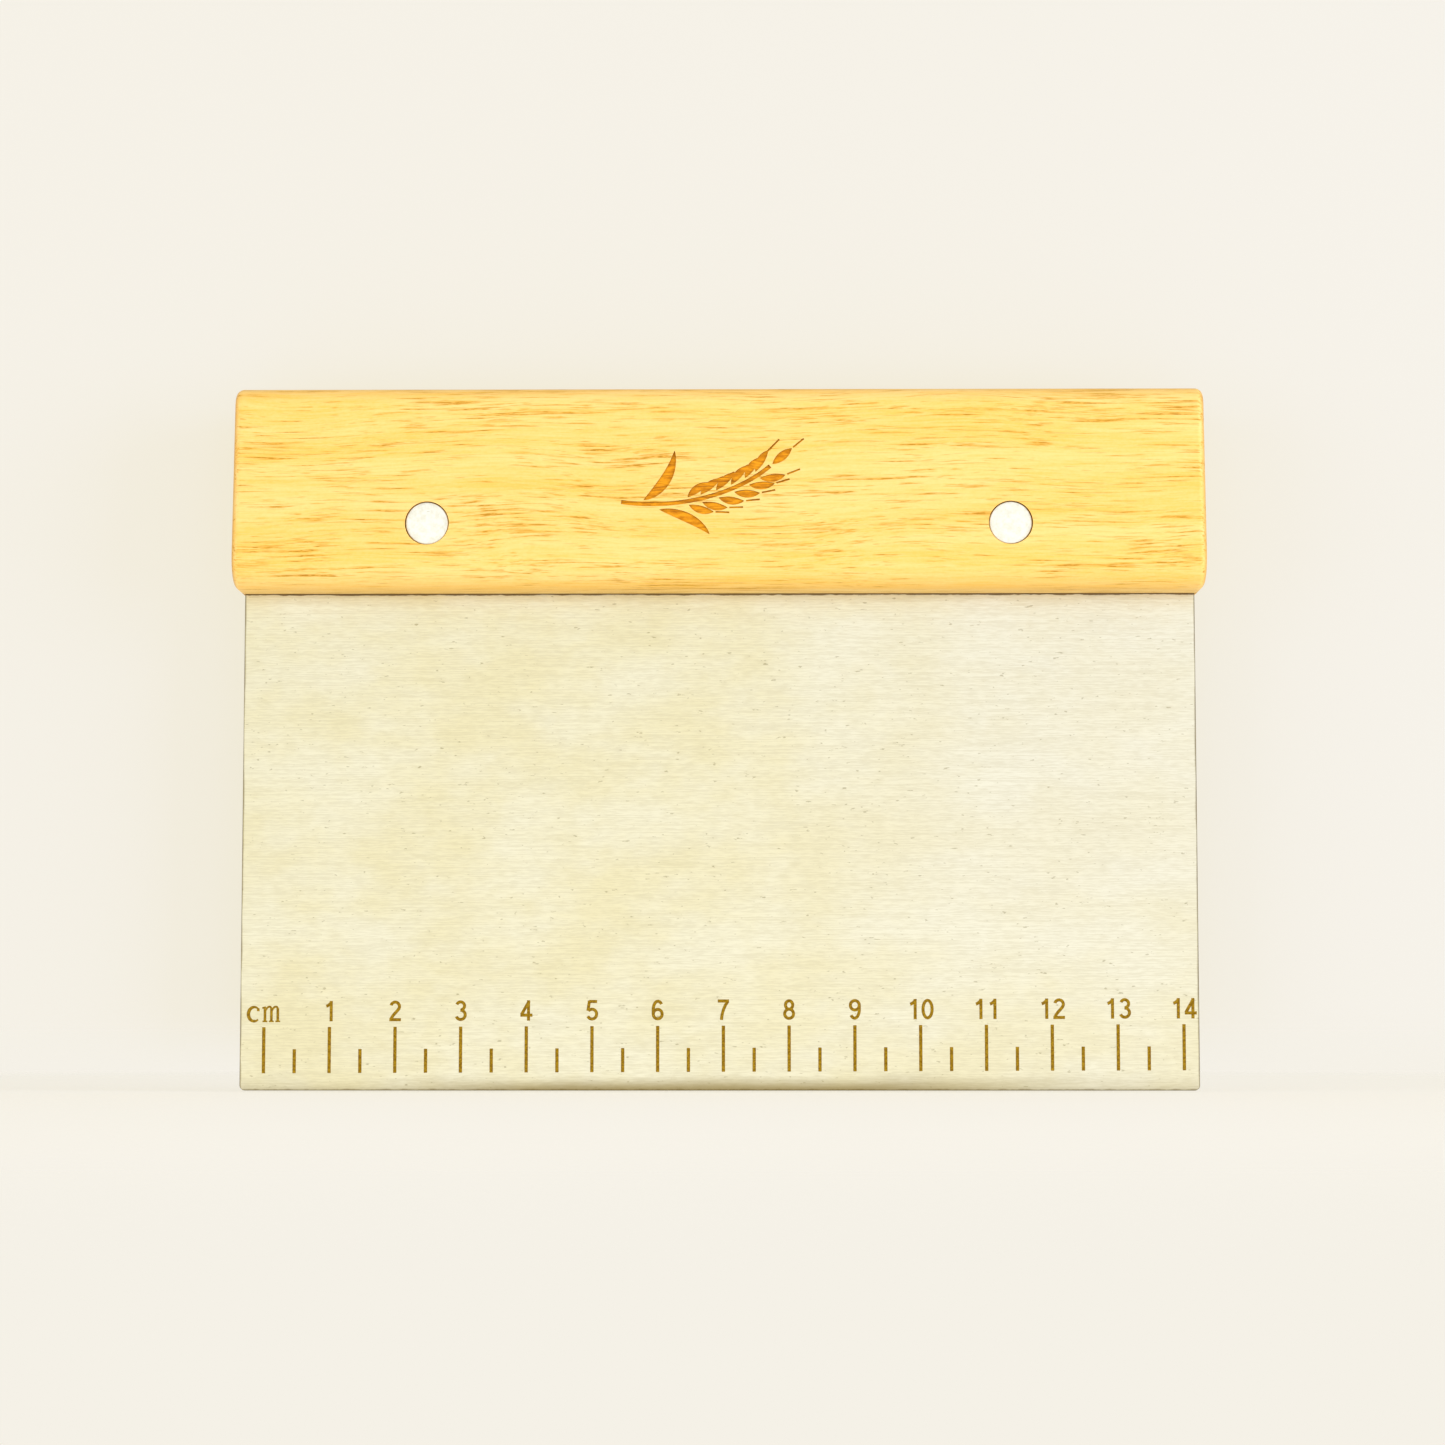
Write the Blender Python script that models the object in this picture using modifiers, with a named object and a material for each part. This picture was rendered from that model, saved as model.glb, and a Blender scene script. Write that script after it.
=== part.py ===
"""Bench scraper: a one-piece hardwood handle on a stainless blade, held by two cutler's rivets.

X runs along the scraping edge, Z runs up from it, and the front faces -Y. The origin is the
middle of the scraping edge. The blade sits in a kerf sawn up into the handle from below, and
each rivet is two halves, a pin pressed into a sleeve, with a head on either side.
"""

import math

import bmesh
import bpy

# Blade, in metres.
BLADE_WIDTH = 0.1460
BLADE_THICKNESS = 0.0010
BLADE_EXPOSED_HEIGHT = 0.0760  # from the scraping edge to the handle's underside
BLADE_TANG_HEIGHT = 0.0190  # inside the handle
BLADE_CORNER_RADIUS = 0.0008
EDGE_LAND = 0.0005  # thickness left at the scraping edge
EDGE_BEVEL_HEIGHT = 0.0012

# Handle. Its thicknesses are across the sloping faces, carried on to the underside and the top.
HANDLE_OVERHANG = 0.0010  # past each side of the blade
HANDLE_HEIGHT = 0.0311
HANDLE_BOTTOM_THICKNESS = 0.0202
HANDLE_TOP_THICKNESS = 0.0143
HANDLE_BOTTOM_RADIUS = 0.0050
HANDLE_TOP_RADIUS = 0.0030
HANDLE_END_RADIUS = 0.0012

# Rivets.
RIVET_INSET = 0.0287  # from the blade's side to the rivet's axis
RIVET_HEIGHT = 0.0098  # above the handle's underside
RIVET_HEAD_DIAMETER = 0.0065
RIVET_HEAD_THICKNESS = 0.0012
RIVET_HEAD_CHAMFER = 0.0002
RIVET_RECESS = 0.0001  # below the sloping face at the head's upper edge
PIN_DIAMETER = 0.0024
SLEEVE_WALL = 0.0006

# Clearances.
KERF_SIDE_CLEARANCE = 0.0003  # each side of the blade
KERF_TOP_CLEARANCE = 0.0005
PIN_CLEARANCE = 0.0003  # round the pin, in the sleeve
PIN_END_CLEARANCE = 0.0010  # between the pin's end and the floor of the sleeve
SLEEVE_END_CLEARANCE = 0.0010  # between the sleeve's end and the pin's head
BORE_CLEARANCE = 0.0003  # round the sleeve
HEAD_CLEARANCE = 0.00025  # round a head
SEAT_CLEARANCE = 0.0003  # behind a head

# Fineness of the round stretches, and the modelling tools' allowances.
TURN_STEPS = 48
BOTTOM_ARC_STEPS = 12
TOP_ARC_STEPS = 10
CORNER_ARC_STEPS = 6
END_BEVEL_SEGMENTS = 4
SHARP_ANGLE = math.radians(35)
END_EDGE_ANGLE = math.radians(60)
MERGE_DISTANCE = 0.00001
FLAT_ANGLE = math.radians(0.05)
CUTTER_OVERRUN = 0.0050  # how far a cutter runs past what it cuts

# Worked out from the sizes above.
HANDLE_WIDTH = BLADE_WIDTH + 2 * HANDLE_OVERHANG
TANG_TOP = BLADE_EXPOSED_HEIGHT + BLADE_TANG_HEIGHT
RIVET_X = BLADE_WIDTH / 2 - RIVET_INSET
RIVET_Z = BLADE_EXPOSED_HEIGHT + RIVET_HEIGHT
HEAD_RADIUS = RIVET_HEAD_DIAMETER / 2
PIN_RADIUS = PIN_DIAMETER / 2
SLEEVE_BORE_RADIUS = PIN_RADIUS + PIN_CLEARANCE
SLEEVE_RADIUS = SLEEVE_BORE_RADIUS + SLEEVE_WALL
FACE_SLOPE = (HANDLE_BOTTOM_THICKNESS - HANDLE_TOP_THICKNESS) / 2 / HANDLE_HEIGHT


def face_y(height):
    """Distance of the handle's sloping face from the middle plane, at a height above the underside."""
    return HANDLE_BOTTOM_THICKNESS / 2 - FACE_SLOPE * height


HEAD_FACE = face_y(RIVET_HEIGHT + HEAD_RADIUS) - RIVET_RECESS
HEAD_BACK = HEAD_FACE - RIVET_HEAD_THICKNESS


def arc(centre, radius, start, end, steps):
    """Points along an arc in a plane, both ends included, with its angles in radians."""
    turns = [start + (end - start) * step / steps for step in range(steps + 1)]
    return [
        (centre[0] + radius * math.cos(turn), centre[1] + radius * math.sin(turn))
        for turn in turns
    ]


def clear_scene():
    """Removes every object, so that the part stands alone."""
    for obj in list(bpy.data.objects):
        bpy.data.objects.remove(obj)


def new_collection(name):
    """A collection of this name in the scene."""
    collection = bpy.data.collections.new(name)
    bpy.context.scene.collection.children.link(collection)
    return collection


def new_material(name, color, roughness, metallic):
    """A Principled material with one colour."""
    material = bpy.data.materials.new(name)
    material.use_nodes = True
    shader = material.node_tree.nodes["Principled BSDF"]
    shader.inputs["Base Color"].default_value = (*color, 1.0)
    shader.inputs["Roughness"].default_value = roughness
    shader.inputs["Metallic"].default_value = metallic
    return material


def evaluated_mesh(obj):
    """A new mesh of an object as its modifiers or its curve settings leave it."""
    bpy.context.view_layer.update()
    graph = bpy.context.evaluated_depsgraph_get()
    return bpy.data.meshes.new_from_object(obj.evaluated_get(graph))


def shade(mesh):
    """Smooth shading that stops at the sharp edges."""
    mesh.shade_smooth()
    mesh.set_sharp_from_angle(angle=SHARP_ANGLE)


def outline_mesh(name, outline, depth):
    """A flat outline in the XY plane, carried half of depth each way along Z."""
    curve = bpy.data.curves.new(name, "CURVE")
    curve.dimensions = "2D"
    curve.fill_mode = "BOTH"
    curve.extrude = depth / 2
    spline = curve.splines.new("POLY")
    spline.points.add(len(outline) - 1)
    for point, (x, y) in zip(spline.points, outline):
        point.co = (x, y, 0, 1)
    spline.use_cyclic_u = True
    guide = bpy.data.objects.new(name, curve)
    bpy.context.scene.collection.objects.link(guide)
    mesh = evaluated_mesh(guide)
    bpy.data.objects.remove(guide)
    bm = bmesh.new()
    bm.from_mesh(mesh)
    bmesh.ops.remove_doubles(bm, verts=bm.verts, dist=MERGE_DISTANCE)
    bmesh.ops.dissolve_limit(
        bm, angle_limit=FLAT_ANGLE, verts=bm.verts, edges=bm.edges
    )
    bmesh.ops.recalc_face_normals(bm, faces=bm.faces)
    bm.to_mesh(mesh)
    bm.free()
    shade(mesh)
    return mesh


def turned_mesh(name, profile):
    """A profile of (radius, height) points, down its outer side, turned round the Z axis."""
    line = bpy.data.meshes.new(name)
    bm = bmesh.new()
    points = [bm.verts.new((radius, 0, height)) for radius, height in profile]
    for start, end in zip(points, points[1:]):
        bm.edges.new((start, end))
    bm.to_mesh(line)
    bm.free()
    guide = bpy.data.objects.new(name, line)
    bpy.context.scene.collection.objects.link(guide)
    screw = guide.modifiers.new("turn", "SCREW")
    screw.axis = "Z"
    screw.angle = math.tau
    screw.steps = TURN_STEPS
    screw.render_steps = TURN_STEPS
    screw.use_merge_vertices = True
    screw.merge_threshold = MERGE_DISTANCE
    mesh = evaluated_mesh(guide)
    bpy.data.objects.remove(guide)
    shade(mesh)
    return mesh


def add_part(name, mesh, material, collection, root, location=(0, 0, 0), rotation=(0, 0, 0)):
    """One named piece of the scraper, held by the root."""
    mesh.materials.clear()
    mesh.materials.append(material)
    part = bpy.data.objects.new(name, mesh)
    collection.objects.link(part)
    part.parent = root
    part.location = location
    part.rotation_euler = rotation
    return part


def add_cutter(name, mesh, collection, location=(0, 0, 0), rotation=(0, 0, 0)):
    """A tool for the Boolean modifiers, never part of the scraper."""
    cutter = bpy.data.objects.new(name, mesh)
    collection.objects.link(cutter)
    cutter.location = location
    cutter.rotation_euler = rotation
    cutter.hide_render = True
    cutter.display_type = "WIRE"
    return cutter


def add_boolean(part, cutter, operation):
    """Cuts a part by a cutter, or keeps what lies within it."""
    boolean = part.modifiers.new(cutter.name, "BOOLEAN")
    boolean.operation = operation
    boolean.solver = "EXACT"
    boolean.object = cutter


ACROSS = (math.pi / 2, 0, math.pi / 2)  # local X, Y and Z along world Y, Z and X
UPRIGHT = (math.pi / 2, 0, 0)  # local X, Y and Z along world X, Z and -Y
TO_BACK = (-math.pi / 2, 0, 0)  # local Z along world Y


def handle_outline():
    """The handle's end view: flat below and above, sloping faces, and a round at each corner."""
    slope_angle = math.atan(FACE_SLOPE)
    quarter = math.pi / 2
    low = HANDLE_BOTTOM_RADIUS
    high = HANDLE_HEIGHT - HANDLE_TOP_RADIUS
    low_y = face_y(low) - HANDLE_BOTTOM_RADIUS / math.cos(slope_angle)
    high_y = face_y(high) - HANDLE_TOP_RADIUS / math.cos(slope_angle)
    side = arc((low_y, low), HANDLE_BOTTOM_RADIUS, -quarter, slope_angle, BOTTOM_ARC_STEPS)
    side += arc((high_y, high), HANDLE_TOP_RADIUS, slope_angle, quarter, TOP_ARC_STEPS)
    other_side = [(-y, z) for y, z in reversed(side)]
    return side + other_side


def blade_outline():
    """The blade's front view, a rectangle with its four corners just rounded."""
    half_width = BLADE_WIDTH / 2
    radius = BLADE_CORNER_RADIUS
    quarter = math.pi / 2
    corners = [
        (half_width - radius, radius),
        (half_width - radius, TANG_TOP - radius),
        (radius - half_width, TANG_TOP - radius),
        (radius - half_width, radius),
    ]
    outline = []
    for number, centre in enumerate(corners):
        start = (number - 1) * quarter
        outline += arc(centre, radius, start, start + quarter, CORNER_ARC_STEPS)
    return outline


def blade_section():
    """The blade's end view, which thins to the land at the scraping edge."""
    side = [
        (EDGE_LAND / 2, -CUTTER_OVERRUN),
        (EDGE_LAND / 2, 0),
        (BLADE_THICKNESS / 2, EDGE_BEVEL_HEIGHT),
        (BLADE_THICKNESS / 2, TANG_TOP + CUTTER_OVERRUN),
    ]
    other_side = [(-y, z) for y, z in reversed(side)]
    return side + other_side


def pin_profile():
    """The rivet's solid half, with its head at the top."""
    end = PIN_END_CLEARANCE - HEAD_BACK
    return [
        (0, HEAD_FACE),
        (HEAD_RADIUS - RIVET_HEAD_CHAMFER, HEAD_FACE),
        (HEAD_RADIUS, HEAD_FACE - RIVET_HEAD_CHAMFER),
        (HEAD_RADIUS, HEAD_BACK),
        (PIN_RADIUS, HEAD_BACK),
        (PIN_RADIUS, end),
        (0, end),
    ]


def sleeve_profile():
    """The rivet's hollow half, with its head at the top and its bore open below."""
    end = SLEEVE_END_CLEARANCE - HEAD_BACK
    return [
        (0, HEAD_FACE),
        (HEAD_RADIUS - RIVET_HEAD_CHAMFER, HEAD_FACE),
        (HEAD_RADIUS, HEAD_FACE - RIVET_HEAD_CHAMFER),
        (HEAD_RADIUS, HEAD_BACK),
        (SLEEVE_RADIUS, HEAD_BACK),
        (SLEEVE_RADIUS, end),
        (SLEEVE_BORE_RADIUS, end),
        (SLEEVE_BORE_RADIUS, HEAD_BACK),
        (0, HEAD_BACK),
    ]


def rivet_bore_profile():
    """The stepped hole for one rivet: a bore for the sleeve and a counterbore for each head."""
    bore_radius = SLEEVE_RADIUS + BORE_CLEARANCE
    seat_radius = HEAD_RADIUS + HEAD_CLEARANCE
    seat = HEAD_BACK - SEAT_CLEARANCE
    end = HANDLE_BOTTOM_THICKNESS / 2 + CUTTER_OVERRUN
    return [
        (0, end),
        (seat_radius, end),
        (seat_radius, seat),
        (bore_radius, seat),
        (bore_radius, -seat),
        (seat_radius, -seat),
        (seat_radius, -end),
        (0, -end),
    ]


def kerf_cutter(cutters):
    """The saw cut that takes the blade, open below and at both ends of the handle."""
    width = HANDLE_WIDTH + 2 * CUTTER_OVERRUN
    thickness = BLADE_THICKNESS + 2 * KERF_SIDE_CLEARANCE
    bottom = BLADE_EXPOSED_HEIGHT - CUTTER_OVERRUN
    top = TANG_TOP + KERF_TOP_CLEARANCE
    mesh = bpy.data.meshes.new("kerf_cutter")
    bm = bmesh.new()
    bmesh.ops.create_cube(bm, size=1)
    bmesh.ops.scale(bm, vec=(width, thickness, top - bottom), verts=bm.verts)
    bm.to_mesh(mesh)
    bm.free()
    return add_cutter("kerf_cutter", mesh, cutters, location=(0, 0, (bottom + top) / 2))


def build_handle(parts, cutters, root, bores):
    """The wooden block with its ends eased, its kerf sawn and its rivet holes bored."""
    wood = new_material("wood", (0.90, 0.68, 0.28), 0.55, 0.0)
    mesh = outline_mesh("handle", handle_outline(), HANDLE_WIDTH)
    underside = (0, 0, BLADE_EXPOSED_HEIGHT)
    handle = add_part("handle", mesh, wood, parts, root, underside, ACROSS)
    bevel = handle.modifiers.new("eased_ends", "BEVEL")
    bevel.width = HANDLE_END_RADIUS
    bevel.segments = END_BEVEL_SEGMENTS
    bevel.limit_method = "ANGLE"
    bevel.angle_limit = END_EDGE_ANGLE
    add_boolean(handle, kerf_cutter(cutters), "DIFFERENCE")
    for bore in bores:
        add_boolean(handle, bore, "DIFFERENCE")


def build_blade(parts, cutters, root, bores):
    """The steel sheet, bevelled to its edge and drilled for the rivets."""
    steel = new_material("stainless_steel", (0.78, 0.77, 0.73), 0.35, 1.0)
    blank_thickness = BLADE_THICKNESS + 2 * CUTTER_OVERRUN
    section_length = BLADE_WIDTH + 2 * CUTTER_OVERRUN
    blank = outline_mesh("blade", blade_outline(), blank_thickness)
    blade = add_part("blade", blank, steel, parts, root, rotation=UPRIGHT)
    section = outline_mesh("blade_section_cutter", blade_section(), section_length)
    section_cutter = add_cutter("blade_section_cutter", section, cutters, rotation=ACROSS)
    add_boolean(blade, section_cutter, "INTERSECT")
    for bore in bores:
        add_boolean(blade, bore, "DIFFERENCE")


def build_scraper():
    """Every piece of the scraper, under one empty at its origin."""
    clear_scene()
    parts = new_collection("bench_scraper")
    cutters = new_collection("bench_scraper_cutters")
    root = bpy.data.objects.new("bench_scraper_origin", None)
    parts.objects.link(root)

    rivet_places = {
        "left": (-RIVET_X, 0, RIVET_Z),
        "right": (RIVET_X, 0, RIVET_Z),
    }
    bore_mesh = turned_mesh("rivet_bore_cutter", rivet_bore_profile())
    bores = [
        add_cutter(f"{side}_rivet_bore_cutter", bore_mesh, cutters, place, UPRIGHT)
        for side, place in rivet_places.items()
    ]
    build_handle(parts, cutters, root, bores)
    build_blade(parts, cutters, root, bores)

    aluminium = new_material("aluminium", (0.91, 0.92, 0.92), 0.30, 1.0)
    pin_mesh = turned_mesh("rivet_pin", pin_profile())
    sleeve_mesh = turned_mesh("rivet_sleeve", sleeve_profile())
    for side, place in rivet_places.items():
        add_part(f"{side}_rivet_pin", pin_mesh, aluminium, parts, root, place, UPRIGHT)
        add_part(f"{side}_rivet_sleeve", sleeve_mesh, aluminium, parts, root, place, TO_BACK)
    bpy.context.view_layer.update()


build_scraper()
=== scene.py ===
"""Bench scraper: the finished look of its handle, blade and rivets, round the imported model."""

import math

import bmesh
import bpy
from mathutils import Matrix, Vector


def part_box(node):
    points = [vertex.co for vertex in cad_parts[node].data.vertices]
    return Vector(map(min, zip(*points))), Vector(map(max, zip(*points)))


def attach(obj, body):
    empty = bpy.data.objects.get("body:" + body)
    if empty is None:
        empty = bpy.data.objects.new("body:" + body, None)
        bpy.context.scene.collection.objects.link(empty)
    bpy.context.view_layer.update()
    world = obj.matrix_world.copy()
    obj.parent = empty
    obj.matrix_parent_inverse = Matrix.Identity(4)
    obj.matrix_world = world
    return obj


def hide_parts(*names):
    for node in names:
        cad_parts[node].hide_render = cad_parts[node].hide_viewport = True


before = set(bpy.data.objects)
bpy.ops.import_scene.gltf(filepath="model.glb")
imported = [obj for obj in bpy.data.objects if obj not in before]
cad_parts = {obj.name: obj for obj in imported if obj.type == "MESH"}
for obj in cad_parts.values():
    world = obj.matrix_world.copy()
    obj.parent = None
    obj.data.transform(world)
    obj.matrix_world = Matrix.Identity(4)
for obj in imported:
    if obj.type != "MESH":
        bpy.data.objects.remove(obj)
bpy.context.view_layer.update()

MM = 0.001

# Handle, whose thicknesses are across the sloping faces carried on to the underside and the top.
HANDLE_BOTTOM_THICKNESS = 20.2 * MM
HANDLE_TOP_THICKNESS = 14.3 * MM
HANDLE_BOTTOM_RADIUS = 5.0 * MM
HANDLE_TOP_RADIUS = 3.0 * MM
HANDLE_END_RADIUS = 1.2 * MM
KERF_CLEARANCE = 0.3 * MM
KERF_TOP_CLEARANCE = 0.5 * MM
KERF_FLARE = 0.25 * MM

# Blade.
BLADE_CORNER_RADIUS = 0.8 * MM
EDGE_LAND = 0.5 * MM
EDGE_ROLL_HEIGHT = 1.2 * MM
SIDE_EASE = 0.16 * MM

# Rivets.
HEAD_THICKNESS = 1.2 * MM
HEAD_CLEARANCE = 0.10 * MM
SEAT_CLEARANCE = 0.3 * MM
BORE_CLEARANCE = 0.3 * MM
PIN_RADIUS = 1.2 * MM
SLEEVE_RADIUS = 2.1 * MM
SLEEVE_BORE_RADIUS = 1.5 * MM
RIM_EASE = 0.14 * MM
HEAD_DOME = 0.05 * MM

# Centimetre scale, from the foot of its zero mark. It climbs a little towards its far end.
SCALE_ZERO_X = -69.36 * MM
SCALE_FOOT_Z = 2.6 * MM
SCALE_SLOPE = 0.0033
CENTIMETRE = 10 * MM
CENTIMETRES = 14
TICK_WIDTH = 0.52 * MM
TICK_EASE = 0.07 * MM
LONG_TICK = 7.0 * MM
SHORT_TICK = 3.65 * MM
SHORT_TICK_PLACE = 4.68 * MM
FIGURE_HEIGHT = 3.1 * MM
FIGURE_BASE = 7.85 * MM
FIGURE_PITCH = 2.13 * MM
FIGURE_STROKE = 0.155
FIGURE_BREADTH = 1.04
UNIT_HEIGHT = 2.45 * MM
UNIT_BASE = 7.75 * MM
UNIT_START = 2.6 * MM
MARK_THICKNESS = 0.02 * MM
MARK_PROUD = 0.008 * MM

# Burnt-in wheat ear, from its middle.
WHEAT_X = -0.8 * MM
WHEAT_Z = 92.4 * MM
BURN_DEPTH = 0.22 * MM
BURN_OVERRUN = 1 * MM

# Cutting: how far a saw or drill reaches past the piece, and how near two points may lie after it.
OVERRUN = 5 * MM
CLOSEST_POINTS = 0.0005 * MM

# Sides of a round piece.
ROUND_SIDES = 96

# Camera and surroundings.
CAMERA_DISTANCE = 0.550
CAMERA_AZIMUTH = math.radians(0.52)
CAMERA_ELEVATION = math.radians(-5.08)
CAMERA_TARGET = (0.5 * MM, 0, 56.18 * MM)
CAMERA_LENS = 89.3
BACKGROUND = (0.913, 0.879, 0.799)
WORLD_LIGHT = (1.0, 0.985, 0.95)
WORLD_STRENGTH_BELOW = 1.05
WORLD_STRENGTH_ABOVE = 0.72
FLOOR_DIFFUSE = (0.30, 0.30, 0.35)
FLOOR_GLOW = (0.646, 0.612, 0.488)
WALL_DIFFUSE = (0.095, 0.12, 0.22)
WALL_GLOW = (0.783, 0.713, 0.50)
FLOOR_RADIUS = 0.45
FLOOR_PLACE = (0, 0, -0.2 * MM)
WALL_RADIUS = 0.3
WALL_PLACE = (0, 11 * MM, 56 * MM)
LAMP_TARGET = (0, 0, 0.055)

# Lamps by name: place, width, watts and colour.
LAMPS = {
    "key": ((0.80, -0.43, 0.14), 0.6, 6.7, (0.94, 0.96, 1.0)),
    "fill": ((-0.70, -0.50, 0.10), 0.6, 3.0, (1.0, 0.975, 0.89)),
    "front": ((0.05, -0.90, 0.04), 0.8, 1.1, (1.0, 0.99, 0.96)),
}


# ---------------------------------------------------------------- modelling helpers


def finish_start(name):
    """Names the primitive that was just added and moves its place into its mesh."""
    piece = bpy.context.object
    piece.name = name
    bpy.ops.object.transform_apply(location=True, rotation=True, scale=True)
    return piece


def add_box(name, low, high):
    """A box between two corners."""
    low, high = Vector(low), Vector(high)
    bpy.ops.object.select_all(action="DESELECT")
    bpy.ops.mesh.primitive_cube_add(size=1, location=(low + high) / 2, scale=high - low)
    return finish_start(name)


def add_cylinder(name, radius, start, end):
    """A cylinder between two points."""
    start, end = Vector(start), Vector(end)
    turn = (end - start).to_track_quat("Z", "Y").to_euler()
    bpy.ops.object.select_all(action="DESELECT")
    bpy.ops.mesh.primitive_cylinder_add(
        vertices=ROUND_SIDES,
        radius=radius,
        depth=(end - start).length,
        location=(start + end) / 2,
        rotation=turn,
    )
    return finish_start(name)


def drill_through(piece, radius, place, start, end, material):
    """Bores a hole along Y through a point, between two distances from it."""
    ends = [place + Vector((0, distance, 0)) for distance in (start, end)]
    drill = add_cylinder("drill", radius, *ends)
    drill.data.materials.append(material)
    apply_boolean(piece, drill)


def pick(piece, kind, test):
    """In edit mode, selects only the verts, edges or faces that pass a test."""
    if bpy.context.object is not piece or piece.mode != "EDIT":
        bpy.context.view_layer.objects.active = piece
        bpy.ops.object.mode_set(mode="EDIT")
    bpy.context.tool_settings.mesh_select_mode = (
        kind == "verts",
        kind == "edges",
        kind == "faces",
    )
    bpy.ops.mesh.select_all(action="DESELECT")
    bm = bmesh.from_edit_mesh(piece.data)
    for element in getattr(bm, kind):
        if test(element):
            element.select_set(True)
    bm.select_flush_mode()
    bmesh.update_edit_mesh(piece.data)


def leave_edit():
    """Back to object mode."""
    bpy.ops.object.mode_set(mode="OBJECT")


def near(a, b, allowance=0.004 * MM):
    """Whether two lengths are the same to within a few micrometres."""
    return abs(a - b) < allowance


def apply_boolean(piece, tool, operation="DIFFERENCE", own=False):
    """Cuts or joins a piece with a tool, whose material its new faces take, and drops the tool."""
    boolean = piece.modifiers.new(tool.name, "BOOLEAN")
    boolean.operation = operation
    boolean.solver = "EXACT"
    boolean.material_mode = "TRANSFER"
    boolean.use_self = own
    boolean.object = tool
    bpy.ops.object.select_all(action="DESELECT")
    bpy.context.view_layer.objects.active = piece
    piece.select_set(True)
    bpy.ops.object.modifier_apply(modifier=boolean.name)
    bpy.data.objects.remove(tool)


def clean(piece):
    """Merges points of a cut piece that lie closer than the finest detail, and closes it again."""
    pick(piece, "verts", lambda v: True)
    bpy.ops.mesh.remove_doubles(threshold=CLOSEST_POINTS)
    bpy.ops.mesh.delete_loose()
    bpy.ops.mesh.select_all(action="SELECT")
    bpy.ops.mesh.fill_holes(sides=6)
    leave_edit()


def shade(piece, degrees=30):
    """Smooth shading that stops at sharp edges and leaves the large flat faces flat."""
    bpy.ops.object.select_all(action="DESELECT")
    bpy.context.view_layer.objects.active = piece
    piece.select_set(True)
    bpy.ops.object.shade_smooth_by_angle(angle=math.radians(degrees))
    weigh = piece.modifiers.new("weigh_normals", "WEIGHTED_NORMAL")
    weigh.mode = "FACE_AREA"
    weigh.weight = 100
    weigh.keep_sharp = True
    bpy.ops.object.modifier_apply(modifier=weigh.name)


def settle(piece, slot, *nodes):
    """Makes a finished piece stand for CAD nodes and ride on the scraper's one body."""
    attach(piece, "root")
    if nodes:
        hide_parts(*nodes)


# ---------------------------------------------------------------- flat strokes


def bow(x, y, across, up, start, end, steps=24):
    """Points along an elliptical arc, with its angles in degrees."""
    turns = [math.radians(start + (end - start) * step / steps) for step in range(steps + 1)]
    return [(x + across * math.cos(turn), y + up * math.sin(turn)) for turn in turns]


def sweep(a, b, c, d, steps=16):
    """Points along a cubic curve with these four control points."""
    points = []
    for step in range(steps + 1):
        t = step / steps
        weights = ((1 - t) ** 3, 3 * t * (1 - t) ** 2, 3 * t * t * (1 - t), t**3)
        points.append(
            tuple(sum(w * p[axis] for w, p in zip(weights, (a, b, c, d))) for axis in (0, 1))
        )
    return points


def add_stroke(bm, points, widths, place, front, back):
    """One stroke of a pen as a closed solid. place turns (across, up, out) into a position."""
    closed = math.dist(points[0], points[-1]) < 1e-9
    if closed:
        points = points[:-1]
    count = len(points)
    if not hasattr(widths, "__len__"):
        widths = [widths] * count
    rings = []
    for number, (x, y) in enumerate(points):
        last = points[(number - 1) % count] if closed or number else points[0]
        following = points[(number + 1) % count] if closed or number < count - 1 else points[-1]
        along = Vector((following[0] - last[0], following[1] - last[1])).normalized()
        side = Vector((-along.y, along.x)) * widths[number] / 2
        corners = []
        for sign, out in ((1, front), (-1, front), (-1, back), (1, back)):
            corners.append(bm.verts.new(place(x + sign * side.x, y + sign * side.y, out)))
        rings.append(corners)
    pairs = list(zip(rings, rings[1:]))
    if closed:
        pairs.append((rings[-1], rings[0]))
    for first, second in pairs:
        for edge in range(4):
            following = (edge + 1) % 4
            bm.faces.new((first[edge], first[following], second[following], second[edge]))
    if not closed:
        bm.faces.new(rings[0])
        bm.faces.new(rings[-1])


def strokes_piece(name, strokes, place, front, back):
    """A piece made of flat strokes, each a list of points and its width or widths."""
    mesh = bpy.data.meshes.new(name)
    bm = bmesh.new()
    for points, widths in strokes:
        add_stroke(bm, points, widths, place, front, back)
    bmesh.ops.recalc_face_normals(bm, faces=bm.faces)
    bm.to_mesh(mesh)
    bm.free()
    piece = bpy.data.objects.new(name, mesh)
    bpy.context.scene.collection.objects.link(piece)
    return piece


# ---------------------------------------------------------------- centimetre scale


def half_turned(strokes):
    """A figure's strokes turned half round, as a 6 makes a 9."""
    return [[(-x, 1 - y) for x, y in points] for points in strokes]


SIX = [
    bow(0, 0.30, 0.21, 0.23, 0, 360),
    bow(0.01, 0.52, 0.22, 0.41, 40, 180) + [(-0.21, 0.30)],
]

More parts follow.
